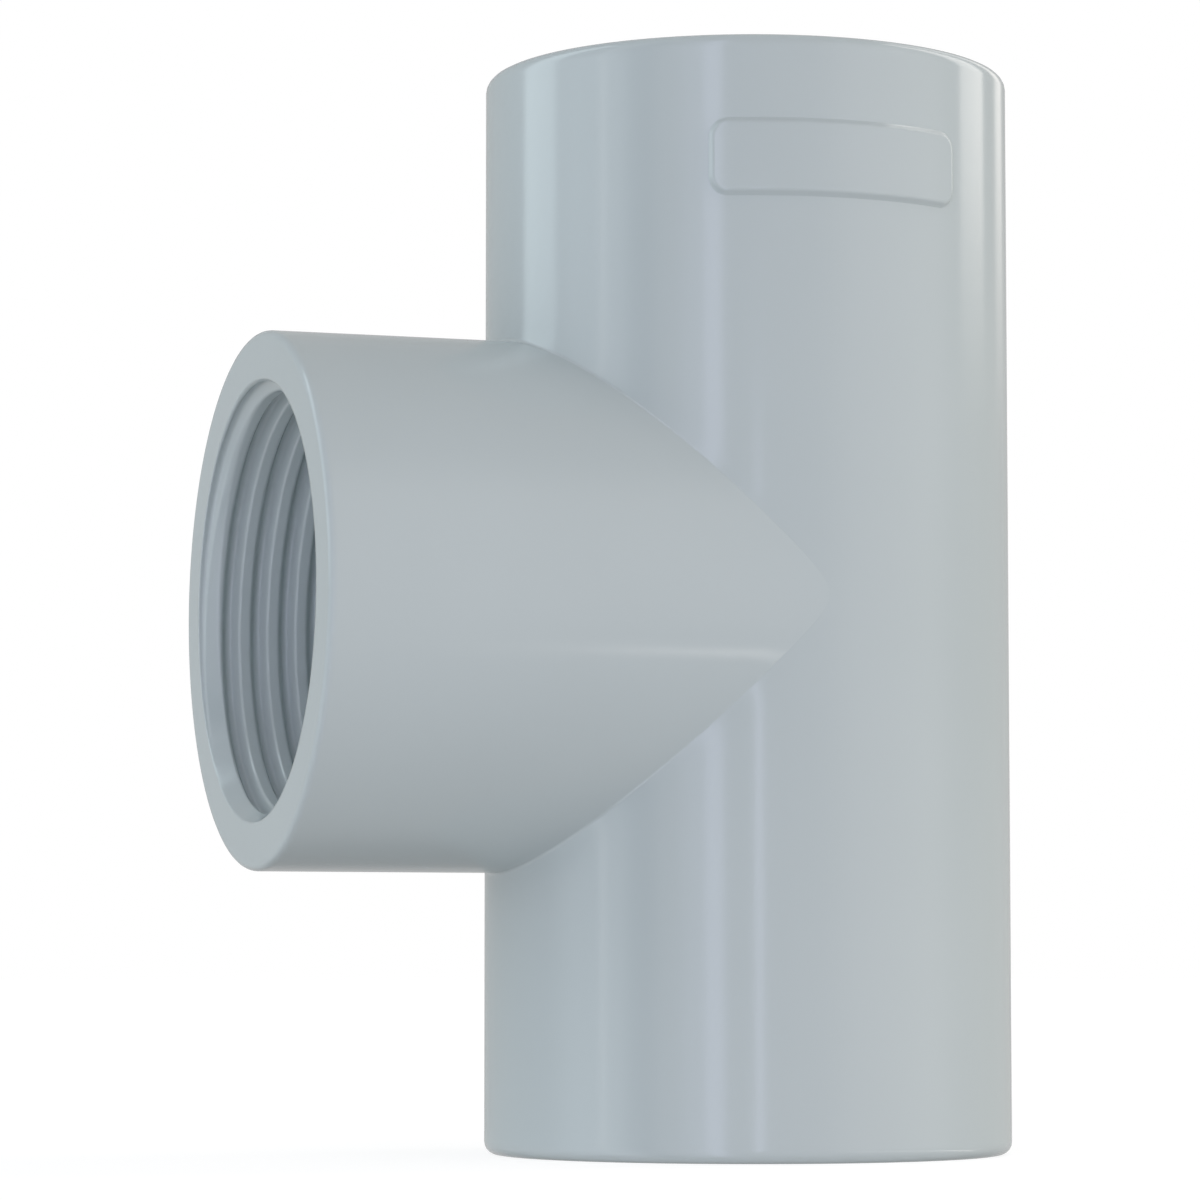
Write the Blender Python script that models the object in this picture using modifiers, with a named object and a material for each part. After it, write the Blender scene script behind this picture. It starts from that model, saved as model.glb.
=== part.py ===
"""Pipe tee, 3/4 inch: a straight run with a plain socket at each end and one threaded branch.

The fitting is a single rigid PVC moulding, so it is one object. It stands on the lower end of
its run. Frame: +Z runs along the run, the branch points to -X, and the origin is the centre of
the bounding box's base. Lengths are in metres.
"""

import math

import bmesh
import bpy
from mathutils import Vector

MM = 0.001

# Driving dimensions of the moulding.
BODY_RADIUS = 16.35 * MM          # outside of the run
BRANCH_RADIUS = 16.32 * MM        # outside of the branch, a hair less than the run
RUN_LENGTH = 67.2 * MM
BRANCH_REACH = 31.8 * MM          # run's axis to the branch's end face
RIM_ROUND = 0.8 * MM              # outer edge of the run's ends
MOUTH_ROUND = 0.4 * MM            # outer edge of the branch's end

# Tapered sockets for 3/4 inch pipe, 26.67 mm outside.
SOCKET_ENTRY_RADIUS = 26.87 / 2 * MM
SOCKET_BOTTOM_RADIUS = 26.57 / 2 * MM
SOCKET_DEPTH = 18.3 * MM
SOCKET_LEAD_IN = 0.6 * MM
WATERWAY_RADIUS = 10.5 * MM
BRANCH_WATERWAY_RADIUS = 10.4 * MM

# Female taper thread, 14 threads per inch, 1 in 16 on the diameter, 60 degree flanks. It is a
# shallow one, with wide flats.
THREAD_PITCH = 25.4 / 14 * MM
THREAD_MAJOR_RADIUS = 13.42 * MM  # at the end face
THREAD_DEPTH = 0.68 * MM
THREAD_ROOT_FLAT = 0.35 * MM
FLANK_OVERRUN = 0.06 * MM         # how far the groove's flanks go on into the open bore
THREAD_TAPER = 1 / 32             # radius lost for each unit of depth
THREAD_TURNS = 9                  # counted from the inner end, so the outer end is in the open
FIRST_ROOT_DEPTH = 1.90 * MM      # first root below the end face, on the +Y side
COUNTERSINK_RADIUS = 13.42 * MM
COUNTERSINK_DEPTH = 1.05 * MM
BRANCH_SHOULDER_DEPTH = 16.0 * MM

# Plain raised pad on the front of the run, near its upper end.
PAD_PROUD = 0.3 * MM
PAD_WIDTH = 15.4 * MM
PAD_HEIGHT = 4.4 * MM
PAD_CORNER = 1.0 * MM
PAD_DROP = 7.5 * MM               # run's upper end to the pad's middle

OUTSIDE_STEPS = 64                # sides of a round outside
BORE_STEPS = 48                   # sides of a bore, and steps in one turn of the thread
ROUND_STEPS = 3
OVERSHOOT = 2 * MM                # how far a cutter passes the face it opens
SHARP_ANGLE = math.radians(32)
MERGE = 0.00001

# The run's axis sits off the origin, so that the box from the branch's end face to the far
# side of the run is centred on it.
RUN_AXIS_X = (BRANCH_REACH - BODY_RADIUS) / 2
MIDDLE_Z = RUN_LENGTH / 2

FLANK_SLOPE = math.tan(math.radians(30))
THREAD_MINOR_RADIUS = THREAD_MAJOR_RADIUS - THREAD_DEPTH
THREAD_END = FIRST_ROOT_DEPTH + 7.25 * THREAD_PITCH


def clear_scene():
    for obj in list(bpy.data.objects):
        bpy.data.objects.remove(obj, do_unlink=True)


def make_collection(name):
    collection = bpy.data.collections.new(name)
    bpy.context.scene.collection.children.link(collection)
    return collection


def add_object(name, mesh, collection, location=(0, 0, 0), rotation=(0, 0, 0)):
    obj = bpy.data.objects.new(name, mesh)
    obj.location = location
    obj.rotation_euler = rotation
    collection.objects.link(obj)
    return obj


def make_tool(obj):
    obj.hide_render = True
    obj.display_type = 'WIRE'
    return obj


def arc(centre, radius, start, end, steps=ROUND_STEPS):
    """Points of an arc in the (radius, height) plane, from one angle in degrees to another."""
    points = []
    for i in range(steps + 1):
        angle = math.radians(start + (end - start) * i / steps)
        points.append((centre[0] + radius * math.cos(angle), centre[1] + radius * math.sin(angle)))
    return points


def turned(name, profile, collection, sides, phase=0.0, **placing):
    """A solid of revolution about its own Z, from (radius, height) points listed downwards."""
    mesh = bpy.data.meshes.new(name)
    points = [(r * math.cos(phase), r * math.sin(phase), z) for r, z in profile]
    mesh.from_pydata(points, [(i, i + 1) for i in range(len(points) - 1)], [])
    obj = add_object(name, mesh, collection, **placing)
    screw = obj.modifiers.new("turn", 'SCREW')
    screw.axis = 'Z'
    screw.angle = math.tau
    screw.steps = screw.render_steps = sides
    screw.use_merge_vertices = True
    screw.merge_threshold = MERGE
    return obj


def boolean(obj, tool, operation):
    modifier = obj.modifiers.new(f"{operation.lower()} {tool.name}", 'BOOLEAN')
    modifier.operation = operation
    modifier.object = tool
    modifier.solver = 'EXACT'


def run_solid(parts):
    """The run's outside, a full cylinder with rounded rims, standing on z = 0."""
    inner = BODY_RADIUS - RIM_ROUND
    profile = [(0, RUN_LENGTH)]
    profile += arc((inner, RUN_LENGTH - RIM_ROUND), RIM_ROUND, 90, 0)
    profile += arc((inner, RIM_ROUND), RIM_ROUND, 0, -90)
    profile += [(0, 0)]
    return turned("tee_body", profile, parts, OUTSIDE_STEPS, location=(RUN_AXIS_X, 0, 0))


def branch_placing():
    """The branch's own frame: origin in its end face, +Z out of the mouth."""
    face_x = RUN_AXIS_X - BRANCH_REACH
    return dict(location=(face_x, 0, MIDDLE_Z), rotation=(0, -math.pi / 2, 0))


def branch_solid(tools):
    profile = [(0, 0)]
    profile += arc((BRANCH_RADIUS - MOUTH_ROUND, -MOUTH_ROUND), MOUTH_ROUND, 90, 0)
    profile += [(BRANCH_RADIUS, -BRANCH_REACH), (0, -BRANCH_REACH)]
    half_step = math.pi / OUTSIDE_STEPS
    return make_tool(turned("branch_outside", profile, tools, OUTSIDE_STEPS, half_step,
                            **branch_placing()))


def socket_profile():
    """One socket of the run, from beyond its end down to the waterway: radius and depth."""
    return [
        (SOCKET_ENTRY_RADIUS + SOCKET_LEAD_IN + OVERSHOOT, -OVERSHOOT),
        (SOCKET_ENTRY_RADIUS, SOCKET_LEAD_IN),
        (SOCKET_BOTTOM_RADIUS, SOCKET_DEPTH),
        (WATERWAY_RADIUS, SOCKET_DEPTH),
    ]


def run_bore(tools):
    """Both sockets and the waterway between their pipe stops, in one turned cutter."""
    upper = [(r, RUN_LENGTH - depth) for r, depth in socket_profile()]
    lower = [(r, depth) for r, depth in reversed(socket_profile())]
    profile = [(0, upper[0][1])] + upper + lower + [(0, lower[-1][1])]
    half_step = math.pi / BORE_STEPS
    return make_tool(turned("run_bore", profile, tools, BORE_STEPS, half_step,
                            location=(RUN_AXIS_X, 0, 0)))


def minor_radius(depth):
    return THREAD_MINOR_RADIUS - depth * THREAD_TAPER


def branch_bore(tools):
    """Countersink, tapered bore at the thread's crests, shoulder and waterway of the branch."""
    crest = minor_radius(COUNTERSINK_DEPTH)
    spread = (COUNTERSINK_RADIUS - crest) / COUNTERSINK_DEPTH
    profile = [
        (0, OVERSHOOT),
        (COUNTERSINK_RADIUS + spread * OVERSHOOT, OVERSHOOT),
        (crest, -COUNTERSINK_DEPTH),
        (minor_radius(BRANCH_SHOULDER_DEPTH), -BRANCH_SHOULDER_DEPTH),
        (BRANCH_WATERWAY_RADIUS, -BRANCH_SHOULDER_DEPTH),
        (BRANCH_WATERWAY_RADIUS, -BRANCH_REACH),
        (0, -BRANCH_REACH),
    ]
    return make_tool(turned("branch_bore", profile, tools, BORE_STEPS, **branch_placing()))


def thread_cutter(tools):
    """Right-hand helical groove, swept as a V section and then drawn in to the taper."""
    half_root = THREAD_ROOT_FLAT / 2
    flank = THREAD_DEPTH + FLANK_OVERRUN
    half_mouth = half_root + flank * FLANK_SLOPE
    mouth_radius = THREAD_MAJOR_RADIUS - flank
    back_radius = mouth_radius - 0.2 * MM             # well inside the open bore
    section = [
        (back_radius, -half_mouth),
        (mouth_radius, -half_mouth),
        (THREAD_MAJOR_RADIUS, -half_root),
        (THREAD_MAJOR_RADIUS, half_root),
        (mouth_radius, half_mouth),
        (back_radius, half_mouth),
    ]
    advance = Vector((0, 0, THREAD_PITCH / BORE_STEPS))

    bm = bmesh.new()
    corners = [bm.verts.new((r, 0, z - THREAD_END)) for r, z in section]
    face = bm.faces.new(corners)
    bmesh.ops.spin(
        bm,
        geom=[face],
        cent=(0, 0, 0),
        axis=(0, 0, 1),
        dvec=advance,
        angle=math.tau * THREAD_TURNS,
        steps=THREAD_TURNS * BORE_STEPS,
        use_merge=False,
        use_duplicate=False,
    )
    bmesh.ops.holes_fill(bm, edges=[edge for edge in bm.edges if edge.is_boundary])
    for vert in bm.verts:
        radius = math.hypot(vert.co.x, vert.co.y)
        scale = 1 + vert.co.z * THREAD_TAPER / radius
        vert.co.x *= scale
        vert.co.y *= scale
    bmesh.ops.recalc_face_normals(bm, faces=bm.faces)

    mesh = bpy.data.meshes.new("thread_groove")
    bm.to_mesh(mesh)
    bm.free()
    return make_tool(add_object("thread_groove", mesh, tools, **branch_placing()))


def pad_solid(tools):
    """A rounded plate, bent to the run by cutting it out of a slightly larger cylinder."""
    height = RUN_LENGTH - PAD_DROP

    bm = bmesh.new()
    bmesh.ops.create_cube(bm, size=1)
    bmesh.ops.scale(bm, vec=(PAD_WIDTH, 2 * BODY_RADIUS, PAD_HEIGHT), verts=bm.verts)
    corner_edges = [e for e in bm.edges if abs(e.verts[0].co.y - e.verts[1].co.y) > BODY_RADIUS]
    bmesh.ops.bevel(bm, geom=corner_edges, offset=PAD_CORNER, segments=ROUND_STEPS,
                    profile=0.5, affect='EDGES')
    plate_mesh = bpy.data.meshes.new("pad")
    bm.to_mesh(plate_mesh)
    bm.free()
    plate = add_object("pad", plate_mesh, tools, location=(RUN_AXIS_X, -BODY_RADIUS, height))

    bm = bmesh.new()
    bmesh.ops.create_cone(bm, cap_ends=True, segments=OUTSIDE_STEPS, radius1=BODY_RADIUS + PAD_PROUD,
                          radius2=BODY_RADIUS + PAD_PROUD, depth=2 * PAD_HEIGHT)
    limit_mesh = bpy.data.meshes.new("pad_limit")
    bm.to_mesh(limit_mesh)
    bm.free()
    limit = add_object("pad_limit", limit_mesh, tools, location=(RUN_AXIS_X, 0, height))
    boolean(plate, make_tool(limit), 'INTERSECT')
    return make_tool(plate)


def pvc_material():
    material = bpy.data.materials.new("blue_grey_pvc")
    material.use_nodes = True
    shader = material.node_tree.nodes["Principled BSDF"]
    shader.inputs["Base Color"].default_value = (0.45, 0.51, 0.54, 1)
    shader.inputs["Roughness"].default_value = 0.35
    shader.inputs["Metallic"].default_value = 0
    return material


def smooth(obj):
    obj.data.shade_smooth()
    obj.data.set_sharp_from_angle(angle=SHARP_ANGLE)


def build():
    clear_scene()
    parts = make_collection("pipe_tee")
    tools = make_collection("cutters")

    body = run_solid(parts)
    body.data.materials.append(pvc_material())
    boolean(body, branch_solid(tools), 'UNION')
    boolean(body, pad_solid(tools), 'UNION')
    boolean(body, run_bore(tools), 'DIFFERENCE')
    boolean(body, branch_bore(tools), 'DIFFERENCE')
    boolean(body, thread_cutter(tools), 'DIFFERENCE')
    smooth(body)


build()
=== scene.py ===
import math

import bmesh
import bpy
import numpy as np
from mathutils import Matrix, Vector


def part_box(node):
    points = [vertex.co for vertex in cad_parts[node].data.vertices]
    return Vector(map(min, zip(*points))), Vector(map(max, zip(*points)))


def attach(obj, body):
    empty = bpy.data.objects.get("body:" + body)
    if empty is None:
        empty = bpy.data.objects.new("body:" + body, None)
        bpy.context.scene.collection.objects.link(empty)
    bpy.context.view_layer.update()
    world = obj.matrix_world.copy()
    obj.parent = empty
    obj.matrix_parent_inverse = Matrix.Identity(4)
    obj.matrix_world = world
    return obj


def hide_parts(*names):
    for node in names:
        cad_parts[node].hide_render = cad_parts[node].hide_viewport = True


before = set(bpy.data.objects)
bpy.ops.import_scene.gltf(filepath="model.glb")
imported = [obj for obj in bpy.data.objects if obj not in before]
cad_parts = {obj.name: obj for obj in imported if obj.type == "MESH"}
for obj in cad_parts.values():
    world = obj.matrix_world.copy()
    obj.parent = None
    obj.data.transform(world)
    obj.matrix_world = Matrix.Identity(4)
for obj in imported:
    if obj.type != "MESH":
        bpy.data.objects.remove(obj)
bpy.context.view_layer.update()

# Looks of the 3/4 inch pipe tee: one fine moulded shell, its raised pad, the PVC, the studio.
#
# The shell is one closed mesh of even quads. Every surface is worked out from the CAD box and
# the pipe and thread sizes below, so the saddle blend, the rounded rims, the sockets and the
# thread meet with shared points and no stray faces.

MM = 0.001

# From the frame.
LOW, HIGH = (Vector(corner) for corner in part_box("tee_body"))
BODY_RADIUS = HIGH.y
AXIS_X = HIGH.x - BODY_RADIUS             # the run's axis
FACE_X = LOW.x                            # the branch's end face
MIDDLE_Z = (LOW.z + HIGH.z) / 2           # the branch's axis
PAD_PROUD = -LOW.y - BODY_RADIUS

# Outside.
BRANCH_RADIUS = BODY_RADIUS - 0.03 * MM
SADDLE_BLEND = 0.22 * MM                  # radius of the blend where branch meets run
RIM_ROUND = 0.8 * MM
MOUTH_ROUND = 0.4 * MM

# Inside the run.
SOCKET_ENTRY_RADIUS = 26.87 / 2 * MM
SOCKET_BOTTOM_RADIUS = 26.57 / 2 * MM
SOCKET_DEPTH = 18.3 * MM
SOCKET_LEAD_IN = 0.6 * MM
SOCKET_FIRST_DROP = 0.01 * MM             # what the taper takes off just below the lead-in
FACE_TO_LEAD_ROUND = 0.15 * MM
LEAD_TO_SOCKET_ROUND = 0.25 * MM
PIPE_STOP_ROUND = 0.3 * MM
WATERWAY_RADIUS = 10.5 * MM

# Inside the branch.
THREAD_PITCH = 25.4 / 14 * MM
THREAD_MAJOR_RADIUS = 13.42 * MM
THREAD_DEPTH = 0.68 * MM
THREAD_ROOT_FLAT = 0.35 * MM
THREAD_EASE = 0.04 * MM                   # rounding of the thread's edges
THREAD_TAPER = 1 / 32
FLANK_SLOPE = math.tan(math.radians(30))
FIRST_ROOT_DEPTH = 1.90 * MM              # below the end face, on the +Y side
THREAD_END = 14.87 * MM                   # middle of the groove's run-out
COUNTERSINK_RADIUS = 13.42 * MM
COUNTERSINK_DEPTH = 1.05 * MM
COUNTERSINK_LAND = 0.15 * MM              # flat ring of the end face next to it
SHOULDER_DEPTH = 16.0 * MM
SHOULDER_ROUND = 0.2 * MM
THREAD_CLEARANCE = 0.4 * MM               # from the threaded rows to the shoulder
BRANCH_WATERWAY_RADIUS = 10.4 * MM
BORE_BLEND = 0.3 * MM                     # rounded edge where the two waterways meet

# Raised pad.
PAD_WIDTH = 16.2 * MM                     # along the curve
PAD_HEIGHT = 4.4 * MM
PAD_CORNER = 1.0 * MM
PAD_DROP = 7.5 * MM                       # run's upper end to the pad's middle
PAD_EDGE = 0.22 * MM                      # half the width of its soft edge
PAD_SUNK = 0.03 * MM                      # how far the edge's foot lies below the run's surface
PAD_ROOT = 0.4 * MM                       # how far its hidden back does

# Mesh density.
COLUMNS = 192                             # around any round surface, a multiple of 4
ARC_STEPS = 5
THREAD_ROWS_PER_PITCH = 24
RUN_ROWS = 22                             # from a rim to the branch
SLEEVE_ROWS = 18                          # from the branch's mouth to the run
SOCKET_ROWS = 10                          # down a socket's wall
WATERWAY_ROWS = 10                        # from a pipe stop to the branch
NECK_ROWS = 8                             # from the shoulder to the run's waterway
PAD_STEP = 0.1 * MM
RIM_REACH = 3 * MM                        # an end's own rows go this far down the outside
CORNER_REACH = 1 * MM                     # rows about an inner corner begin or end this far off
SUPPORT = 0.12 * MM                       # keeps a rounded edge's shading off the flats
WELD = 0.0005 * MM

# The PVC. The noises are in Object space, so a scale is patches per metre.
PVC_TINTS = (0.510, 0.568, 0.575, 1), (0.530, 0.588, 0.595, 1)
PVC_ROUGHNESS = 0.10, 0.15
PVC_IOR = 1.5
FLOW_SCALE = 45                           # mottle in patches of about 2 cm
FLOW_BAND = 0.3, 0.7                      # part of the noise over which the tint changes
SKIN_SCALE = 900                          # grains of about a millimetre
SKIN_HEIGHT = 0.004 * MM                  # unevenness of the moulded skin

# Camera and floor.
CAMERA_PLACE = Vector((AXIS_X - 105.8 * MM, -272.7 * MM, MIDDLE_Z - 22.1 * MM))
CAMERA_TILT = 4.49                        # degrees upwards
CAMERA_TURN = -19.41                      # degrees from +Y, negative towards +X
CAMERA_LENS = 140.5                       # in mm, like the sensor
CAMERA_SENSOR = 36
FLOOR_REACH = 4                           # metres from the middle to each side
FLOOR_GREY = 0.3
FLOOR_GLOW = 0.8


# ---------------------------------------------------------------- places on the two axes

def on_run(radius, angle, z):
    """Points about the run's axis. The angle starts at the branch and turns to the front."""
    radius, angle, z = np.broadcast_arrays(radius, angle, z)
    x = AXIS_X - radius * np.cos(angle)
    return np.stack([x, -radius * np.sin(angle), z], axis=-1)


def on_branch(radius, angle, depth):
    """Points about the branch's axis. The angle starts at the top and turns to the front."""
    radius, angle, depth = np.broadcast_arrays(radius, angle, depth)
    z = MIDDLE_Z + radius * np.cos(angle)
    return np.stack([FACE_X + depth, -radius * np.sin(angle), z], axis=-1)


BRANCH_ANGLES = np.arange(COLUMNS) * math.tau / COLUMNS


class Saddle:
    """Where a branch cylinder meets the run's cylinder, eased by a ball rolled along both."""

    def __init__(self, run_radius, branch_radius, ball):
        self.run_radius = run_radius
        centre_y = -(branch_radius + ball) * np.sin(BRANCH_ANGLES)
        centre_z = (branch_radius + ball) * np.cos(BRANCH_ANGLES)
        centre_x = -np.sqrt((run_radius + ball) ** 2 - centre_y ** 2)
        to_branch = branch_radius / (branch_radius + ball)
        to_run = run_radius / (run_radius + ball)
        self.centre = self.place(centre_x, centre_y, centre_z)
        self.branch_edge = self.place(centre_x, centre_y * to_branch, centre_z * to_branch)
        self.run_edge = self.place(centre_x * to_run, centre_y * to_run, centre_z)
        self.angles = self.run_columns()

    @staticmethod
    def place(x, y, z):
        return np.stack([AXIS_X + x, y, MIDDLE_Z + z], axis=-1)

    def run_columns(self):
        """The run's column angles: those of the edge on the branch's side, even ones behind."""
        quarter = COLUMNS // 4
        edge = self.run_edge[:quarter + 1]
        side = np.arctan2(-edge[:, 1], AXIS_X - edge[:, 0])
        front = np.concatenate([-side[:0:-1], side])
        behind = np.linspace(side[-1], math.tau - side[-1], 2 * quarter + 1)[1:-1]
        return np.concatenate([front, behind])

    def edge_heights(self, upper):
        """Height at which each column ends: on the edge, or level with the branch behind."""
        quarter = COLUMNS // 4
        heights = np.full(COLUMNS, MIDDLE_Z)
        steps = np.arange(-quarter, quarter + 1)
        index = steps if upper else COLUMNS // 2 - steps
        heights[:len(steps)] = self.run_edge[index % COLUMNS, 2]
        return heights

    def run_rows(self, start_z, rows):
        """The run's surface from a level ring down, or up, to the edge."""
        end = self.edge_heights(start_z > MIDDLE_Z)
        share = np.linspace(0, 1, rows)[:, None]
        return on_run(self.run_radius, self.angles, start_z + (end - start_z) * share)

    def blend_rows(self):
        """The eased strip, from the branch's edge to the run's edge."""
        a = self.branch_edge - self.centre
        b = self.run_edge - self.centre
        length = np.linalg.norm(a, axis=1, keepdims=True)
        cosine = np.sum(a * b, axis=1, keepdims=True) / length ** 2
        angle = np.arccos(np.clip(cosine, -1, 1))
        share = np.linspace(0, 1, ARC_STEPS + 2)[:, None, None]
        mixed = (np.sin((1 - share) * angle) * a + np.sin(share * angle) * b) / np.sin(angle)
        return self.centre + mixed


# ---------------------------------------------------------------- turned profiles

def rounded(corners):
    """(radius, depth) points through corners given as (radius, depth, rounding)."""
    points = [Vector(corners[0][:2])]
    for before, here, after in zip(corners, corners[1:], corners[2:]):
        corner = Vector(here[:2])
        back = (Vector(before[:2]) - corner).normalized()
        on = (Vector(after[:2]) - corner).normalized()
        half = back.angle(on) / 2
        centre = corner + (back + on).normalized() * here[2] / math.sin(half)
        reach = here[2] / math.tan(half)
        start = corner + back * reach
        end = corner + on * reach
        points.append(start + back * SUPPORT)
        for i in range(ARC_STEPS + 1):
            sweep = (math.pi - 2 * half) * (i / ARC_STEPS - 0.5)
            middle = (corner - centre).normalized()
            side = (end - start).normalized()
            points.append(centre + here[2] * (middle * math.cos(sweep) + side * math.sin(sweep)))
        points.append(end + on * SUPPORT)
    points.append(Vector(corners[-1][:2]))
    return np.array(points)


def smoothstep(x):
    x = np.clip(x, 0, 1)
    return x * x * (3 - 2 * x)


def soft_max(a, b, ease):
    """The larger of two, with the crossing rounded over about the ease."""
    return (a + b + np.sqrt((a - b) ** 2 + ease ** 2)) / 2


def run_end_rows(outside, inside, start, stop, upper):
    """One end of the run: rim, end face, lead-in, socket, pipe stop, top of the waterway."""
    lead_radius = SOCKET_ENTRY_RADIUS + SOCKET_LEAD_IN
    rim = rounded([
        (BODY_RADIUS, start, 0),
        (BODY_RADIUS, 0, RIM_ROUND),
        (lead_radius, 0, FACE_TO_LEAD_ROUND),
        (SOCKET_ENTRY_RADIUS, SOCKET_LEAD_IN, LEAD_TO_SOCKET_ROUND),
        (SOCKET_ENTRY_RADIUS - SOCKET_FIRST_DROP, 2 * SOCKET_LEAD_IN, 0),
    ])
    stop_corner = rounded([
        (SOCKET_BOTTOM_RADIUS, SOCKET_DEPTH - CORNER_REACH, 0),
        (SOCKET_BOTTOM_RADIUS, SOCKET_DEPTH, PIPE_STOP_ROUND),
        (WATERWAY_RADIUS, SOCKET_DEPTH, PIPE_STOP_ROUND),
        (WATERWAY_RADIUS, stop, 0),
    ])
    wall = np.linspace(rim[-1], stop_corner[0], SOCKET_ROWS)[1:-1]
    profile = np.concatenate([rim, wall, stop_corner])
    # The columns slide round from the outer saddle's to the inner saddle's down the socket.
    share = np.zeros(len(profile))
    share[len(rim):len(rim) + len(wall)] = np.linspace(0, 1, len(wall) + 2)[1:-1]
    share[len(rim) + len(wall):] = 1
    angles = outside + (inside - outside) * share[:, None]
    depth = profile[:, 1:]
    z = HIGH.z - depth if upper else LOW.z + depth
    return on_run(profile[:, :1], angles, z)


def thread_radius(angle, depth):
    """Radius of the threaded hole: countersink, taper bore and right-hand helical groove."""
    taper = depth * THREAD_TAPER
    crest = THREAD_MAJOR_RADIUS - THREAD_DEPTH - taper
    turn = (angle - 1.5 * math.pi) / math.tau
    root = (depth - FIRST_ROOT_DEPTH) / THREAD_PITCH - turn
    from_root = np.abs(root - np.round(root)) * THREAD_PITCH
    along_flank = soft_max(from_root - THREAD_ROOT_FLAT / 2, 0, THREAD_EASE)
    groove = THREAD_MAJOR_RADIUS - taper - along_flank / FLANK_SLOPE
    run_out = smoothstep((THREAD_END - depth) / THREAD_PITCH + 0.5)
    groove = crest - THREAD_EASE + (groove - crest + THREAD_EASE) * run_out
    bore = soft_max(crest, groove, THREAD_EASE)
    fall = (COUNTERSINK_RADIUS - (THREAD_MAJOR_RADIUS - THREAD_DEPTH)) / COUNTERSINK_DEPTH
    return soft_max(bore, COUNTERSINK_RADIUS - depth * fall, THREAD_EASE)


def branch_end_rows(start, stop):
    """The branch's end: rounded mouth, end face, countersink, thread, shoulder, waterway."""
    face = rounded([
        (BRANCH_RADIUS, start, 0),
        (BRANCH_RADIUS, 0, MOUTH_ROUND),
        (COUNTERSINK_RADIUS + COUNTERSINK_LAND, 0, 0),
    ])
    inner_depth = SHOULDER_DEPTH - THREAD_CLEARANCE
    rows = round(inner_depth / THREAD_PITCH * THREAD_ROWS_PER_PITCH)
    depths = np.linspace(0, inner_depth, rows)[:, None]
    radius = thread_radius(BRANCH_ANGLES, depths)
    shoulder_radius = THREAD_MAJOR_RADIUS - THREAD_DEPTH - SHOULDER_DEPTH * THREAD_TAPER
    shoulder = rounded([
        (shoulder_radius, inner_depth, 0),
        (shoulder_radius, SHOULDER_DEPTH, SHOULDER_ROUND),
        (BRANCH_WATERWAY_RADIUS, SHOULDER_DEPTH, SHOULDER_ROUND),
        (BRANCH_WATERWAY_RADIUS, stop, 0),
    ])[1:]
    return np.concatenate([
        on_branch(face[:, :1], BRANCH_ANGLES, face[:, 1:]),
        on_branch(radius, BRANCH_ANGLES, depths),
        on_branch(shoulder[:, :1], BRANCH_ANGLES, shoulder[:, 1:]),
    ])


def between(first, last, rows):
    """Rows between two rings of points, both ends left out."""
    share = np.linspace(0, 1, rows + 2)[1:-1, None, None]
    return first + (last - first) * share


# ---------------------------------------------------------------- meshes

def grid_faces(rows, columns, first, closed):
    """Quads over a grid of points numbered row by row."""
    across = columns if closed else columns - 1
    i, j = np.meshgrid(np.arange(rows - 1), np.arange(across), indexing="ij")
    k = (j + 1) % columns
    corners = [i * columns + j, i * columns + k, (i + 1) * columns + k, (i + 1) * columns + j]
    return first + np.stack(corners, axis=-1).reshape(-1, 4)


def mesh_object(name, grids, closed):
    """One welded object from several grids of points, each rows by columns by 3."""
    points, faces, count = [], [], 0
    for grid in grids:
        rows, columns = grid.shape[:2]
        points.append(grid.reshape(-1, 3))
        faces.append(grid_faces(rows, columns, count, closed))
        count += rows * columns
    mesh = bpy.data.meshes.new(name)
    mesh.from_pydata(np.concatenate(points).tolist(), [], np.concatenate(faces).tolist())
    bm = bmesh.new()
    bm.from_mesh(mesh)
    bmesh.ops.remove_doubles(bm, verts=bm.verts, dist=WELD)
    bmesh.ops.recalc_face_normals(bm, faces=bm.faces)
    bm.to_mesh(mesh)
    bm.free()
    mesh.shade_smooth()
    obj = bpy.data.objects.new(name, mesh)
    bpy.context.scene.collection.objects.link(obj)
    return obj


def moulded_shell():
    outer = Saddle(BODY_RADIUS, BRANCH_RADIUS, SADDLE_BLEND)
    inner = Saddle(WATERWAY_RADIUS, BRANCH_WATERWAY_RADIUS, BORE_BLEND)
    stop_depth = SOCKET_DEPTH + CORNER_REACH
    neck_depth = SHOULDER_DEPTH + CORNER_REACH

    branch_end = branch_end_rows(RIM_REACH, neck_depth)
    sleeve = between(branch_end[0], outer.branch_edge, SLEEVE_ROWS)
    neck = between(branch_end[-1], inner.branch_edge, NECK_ROWS)
    branch = np.concatenate([
        outer.blend_rows()[::-1],
        sleeve[::-1],
        branch_end,
        neck,
        inner.blend_rows(),
    ])
    grids = [branch]
    for upper in (True, False):
        rim_z = HIGH.z - RIM_REACH if upper else LOW.z + RIM_REACH
        stop_z = HIGH.z - stop_depth if upper else LOW.z + stop_depth
        grids.append(outer.run_rows(rim_z, RUN_ROWS))
        grids.append(inner.run_rows(stop_z, WATERWAY_ROWS))
        grids.append(run_end_rows(outer.angles, inner.angles, RIM_REACH, stop_depth, upper))
    return mesh_object("moulded_shell", grids, closed=True)


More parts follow.
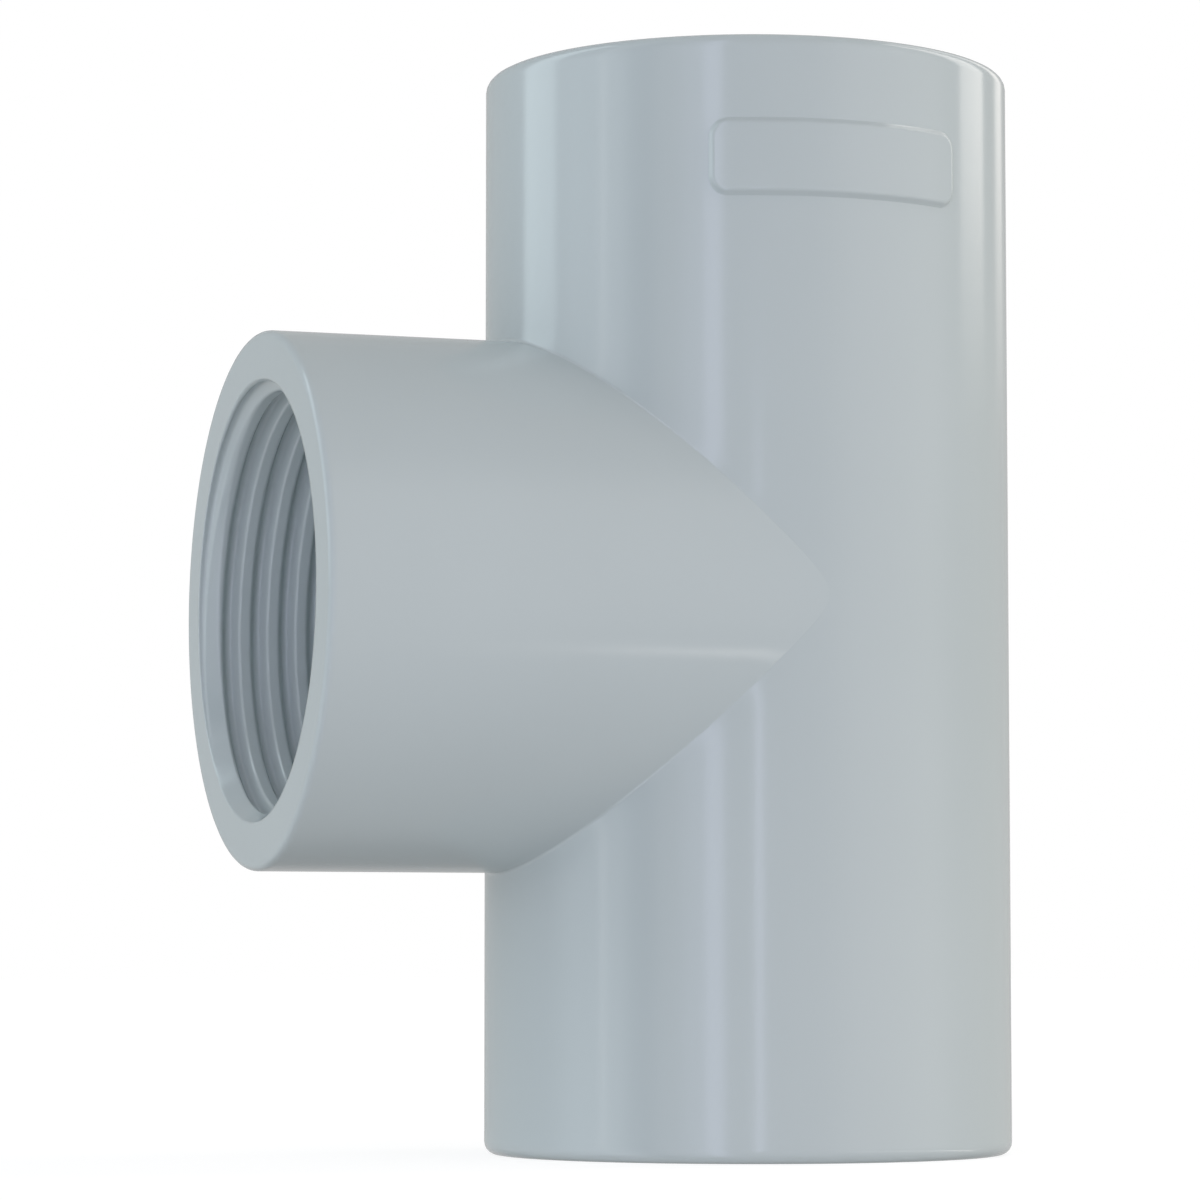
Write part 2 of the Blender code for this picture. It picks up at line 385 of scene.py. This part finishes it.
def raised_pad():
    """A blank pad, swelling out of the run's front over a soft edge."""
    half_width = PAD_WIDTH / 2 + PAD_EDGE
    half_height = PAD_HEIGHT / 2 + PAD_EDGE
    across = np.linspace(-half_width, half_width, round(2 * half_width / PAD_STEP))
    up = np.linspace(-half_height, half_height, round(2 * half_height / PAD_STEP))
    s, t = np.meshgrid(across, up, indexing="ij")
    beyond_s = np.maximum(np.abs(s) - (PAD_WIDTH / 2 - PAD_CORNER), 0)
    beyond_t = np.maximum(np.abs(t) - (PAD_HEIGHT / 2 - PAD_CORNER), 0)
    outside = np.hypot(beyond_s, beyond_t) - PAD_CORNER
    rise = smoothstep(0.5 - outside / (2 * PAD_EDGE))
    top = BODY_RADIUS - PAD_SUNK + (PAD_PROUD + PAD_SUNK) * rise
    angle = math.pi / 2 + s / BODY_RADIUS
    z = HIGH.z - PAD_DROP + t
    front = on_run(top, angle, z)
    back = on_run(BODY_RADIUS - PAD_ROOT, angle, z)
    walls = [
        np.stack([front[0], back[0]]),
        np.stack([front[-1], back[-1]]),
        np.stack([front[:, 0], back[:, 0]]),
        np.stack([front[:, -1], back[:, -1]]),
    ]
    return mesh_object("raised_pad", [front, back] + walls, closed=False)


# ---------------------------------------------------------------- material

def pvc():
    """Blue-grey rigid PVC as moulded: smooth, with a faint flow mottle and a fine skin."""
    material = bpy.data.materials.new("blue_grey_pvc")
    material.use_nodes = True
    nodes, links = material.node_tree.nodes, material.node_tree.links
    shader = nodes["Principled BSDF"]
    shader.inputs["IOR"].default_value = PVC_IOR

    place = nodes.new("ShaderNodeTexCoord")
    flow = nodes.new("ShaderNodeTexNoise")
    flow.inputs["Scale"].default_value = FLOW_SCALE
    flow.inputs["Detail"].default_value = 3
    links.new(place.outputs["Object"], flow.inputs["Vector"])

    tint = nodes.new("ShaderNodeValToRGB")
    for stop, position, colour in zip(tint.color_ramp.elements, FLOW_BAND, PVC_TINTS):
        stop.position = position
        stop.color = colour
    links.new(flow.outputs["Fac"], tint.inputs["Fac"])
    links.new(tint.outputs["Color"], shader.inputs["Base Color"])

    gloss = nodes.new("ShaderNodeMapRange")
    gloss.inputs["To Min"].default_value = PVC_ROUGHNESS[0]
    gloss.inputs["To Max"].default_value = PVC_ROUGHNESS[1]
    links.new(flow.outputs["Fac"], gloss.inputs["Value"])
    links.new(gloss.outputs["Result"], shader.inputs["Roughness"])

    skin = nodes.new("ShaderNodeTexNoise")
    skin.inputs["Scale"].default_value = SKIN_SCALE
    skin.inputs["Detail"].default_value = 2
    links.new(place.outputs["Object"], skin.inputs["Vector"])
    bump = nodes.new("ShaderNodeBump")
    bump.inputs["Distance"].default_value = SKIN_HEIGHT
    links.new(skin.outputs["Fac"], bump.inputs["Height"])
    links.new(bump.outputs["Normal"], shader.inputs["Normal"])
    return material


# ---------------------------------------------------------------- camera, floor and light

def studio_camera():
    data = bpy.data.cameras.new("camera")
    data.lens = CAMERA_LENS
    data.sensor_width = CAMERA_SENSOR
    data.clip_start = 0.01
    camera = bpy.data.objects.new("camera", data)
    camera.location = CAMERA_PLACE
    camera.rotation_euler = (math.radians(90 + CAMERA_TILT), 0, math.radians(CAMERA_TURN))
    bpy.context.scene.collection.objects.link(camera)
    bpy.context.scene.camera = camera


def plain_floor():
    """A white floor under the fitting. It is seen, but throws no light back up."""
    mesh = bpy.data.meshes.new("floor")
    bm = bmesh.new()
    bmesh.ops.create_grid(bm, x_segments=1, y_segments=1, size=FLOOR_REACH)
    bm.to_mesh(mesh)
    bm.free()
    floor = bpy.data.objects.new("floor", mesh)
    floor.visible_diffuse = False
    floor.visible_glossy = False
    bpy.context.scene.collection.objects.link(floor)
    material = bpy.data.materials.new("floor_white")
    material.use_nodes = True
    shader = material.node_tree.nodes["Principled BSDF"]
    shader.inputs["Base Color"].default_value = (FLOOR_GREY, FLOOR_GREY, FLOOR_GREY, 1)
    shader.inputs["Specular IOR Level"].default_value = 0
    shader.inputs["Emission Color"].default_value = (1, 1, 1, 1)
    shader.inputs["Emission Strength"].default_value = FLOOR_GLOW
    mesh.materials.append(material)


# The studio: soft boxes as (azimuth, width, elevation, height, edge, strength, colour), angles
# in degrees. Azimuth 0 is in front of the fitting, 90 on its right; the camera is at -21.
COOL, BLUE, NEUTRAL, WARM = (0.85, 1.0, 1.05), (0.96, 1.0, 1.35), (1, 1, 1), (1.06, 1.0, 0.95)
SOFT_BOXES = [
    (-124, 22, 32, 52, 3, 1.9, COOL),       # high on the far left
    (-90, 40, -12, 60, 10, 0.65, COOL),     # low on the left
    (-68, 14, 0, 110, 4, -0.6, NEUTRAL),    # a black flag
    (-86, 4, 0, 110, 1, 0.8, NEUTRAL),      # a thin strip past it
    (-40, 18, 0, 110, 4, 0.5, BLUE),        # tall, left of the camera
    (-35, 8, 0, 110, 1.5, 1.1, BLUE),       # its brighter side
    (-16, 3.5, -6, 24, 1, 1.9, BLUE),       # a narrow strip beside it
    (24, 100, 12, 60, 35, 0.25, NEUTRAL),   # broad wash from the front
    (46, 56, 18, 60, 12, 0.5, WARM),        # broad, on the right
    (98, 20, 33, 48, 2, 2.4, WARM),         # high on the far right
    (129, 12, 30, 42, 3, 1.2, WARM),        # its neighbour, farther round
    (60, 78, -20, 3, 1, 2.6, WARM),         # a low line of light on the right
    (160, 90, -36, 36, 12, -0.3, NEUTRAL),  # the dark floor behind
]
ROOM = [                                    # light of the room by height, -1 below to 1 above
    (-1.0, 0.38),
    (-0.35, 0.67),
    (0.0, 0.56),
    (0.4, 0.50),
    (1.0, 0.46),
]


class Nodes:
    """Short calls for the arithmetic nodes of one tree."""

    def __init__(self, tree):
        self.tree = tree

    def add(self, kind, **settings):
        node = self.tree.nodes.new(kind)
        for name, value in settings.items():
            setattr(node, name, value)
        return node

    def feed(self, node, *values):
        for socket, value in zip(node.inputs, values):
            if isinstance(value, bpy.types.NodeSocket):
                self.tree.links.new(value, socket)
            else:
                socket.default_value = value
        return node.outputs[0]

    def math(self, operation, *values):
        return self.feed(self.add("ShaderNodeMath", operation=operation), *values)

    def scale(self, colour, level):
        node = self.add("ShaderNodeVectorMath", operation='SCALE')
        node.inputs["Vector"].default_value = colour
        self.tree.links.new(level, node.inputs["Scale"])
        return node.outputs["Vector"]

    def window(self, value, half, edge):
        """1 inside half of a window's width, falling smoothly to 0 across its edge."""
        node = self.add("ShaderNodeMapRange", interpolation_type='SMOOTHSTEP')
        inside = max(half - edge, 0)
        return self.feed(node, value, inside, half + edge, 1.0, 0.0)


def soft_box(nodes, azimuth, elevation, box):
    at, width, height_at, height, edge = (math.radians(value) for value in box[:5])
    strength, colour = box[5:]
    off = nodes.math('SUBTRACT', azimuth, at)
    off = nodes.math('ABSOLUTE', nodes.math('WRAP', off, math.pi, -math.pi))
    up = nodes.math('ABSOLUTE', nodes.math('SUBTRACT', elevation, height_at))
    across = nodes.window(off, width / 2, edge)
    along = nodes.window(up, height / 2, edge)
    level = nodes.math('MULTIPLY', nodes.math('MULTIPLY', across, along), strength)
    return nodes.scale(colour, level)


def studio_world():
    """White to the camera. Everything else is lit by a soft room with a few soft boxes."""
    world = bpy.data.worlds.new("studio")
    bpy.context.scene.world = world
    world.use_nodes = True
    nodes = Nodes(world.node_tree)
    backdrop = world.node_tree.nodes["Background"]
    backdrop.inputs["Color"].default_value = (1, 1, 1, 1)

    place = nodes.add("ShaderNodeTexCoord").outputs["Generated"]
    split = nodes.add("ShaderNodeSeparateXYZ")
    nodes.feed(split, place)
    x, y, z = split.outputs
    azimuth = nodes.math('ARCTAN2', x, nodes.math('MULTIPLY', y, -1.0))
    elevation = nodes.math('ARCSINE', z)

    ramp = nodes.add("ShaderNodeValToRGB")
    nodes.feed(ramp, nodes.math('MULTIPLY_ADD', z, 0.5, 0.5))
    stops = ramp.color_ramp.elements
    while len(stops) < len(ROOM):
        stops.new(0.5)
    for stop, (height, value) in zip(stops, ROOM):
        stop.position = (height + 1) / 2
        stop.color = (value, value, value, 1)
    total = ramp.outputs["Color"]
    for box in SOFT_BOXES:
        lit = soft_box(nodes, azimuth, elevation, box)
        total = nodes.feed(nodes.add("ShaderNodeVectorMath", operation='ADD'), total, lit)

    room = nodes.add("ShaderNodeBackground")
    nodes.feed(room, total, 1.0)
    seen = nodes.add("ShaderNodeLightPath").outputs["Is Camera Ray"]
    mix = nodes.add("ShaderNodeMixShader")
    nodes.feed(mix, seen, room.outputs[0], backdrop.outputs[0])
    world.node_tree.links.new(mix.outputs[0], world.node_tree.nodes["World Output"].inputs[0])
    bpy.context.scene.view_settings.view_transform = 'Standard'


def build():
    material = pvc()
    shell = moulded_shell()
    pad = raised_pad()
    for piece in (shell, pad):
        piece.data.materials.append(material)
        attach(piece, "root")
    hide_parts("tee_body")
    studio_camera()
    plain_floor()
    studio_world()


build()
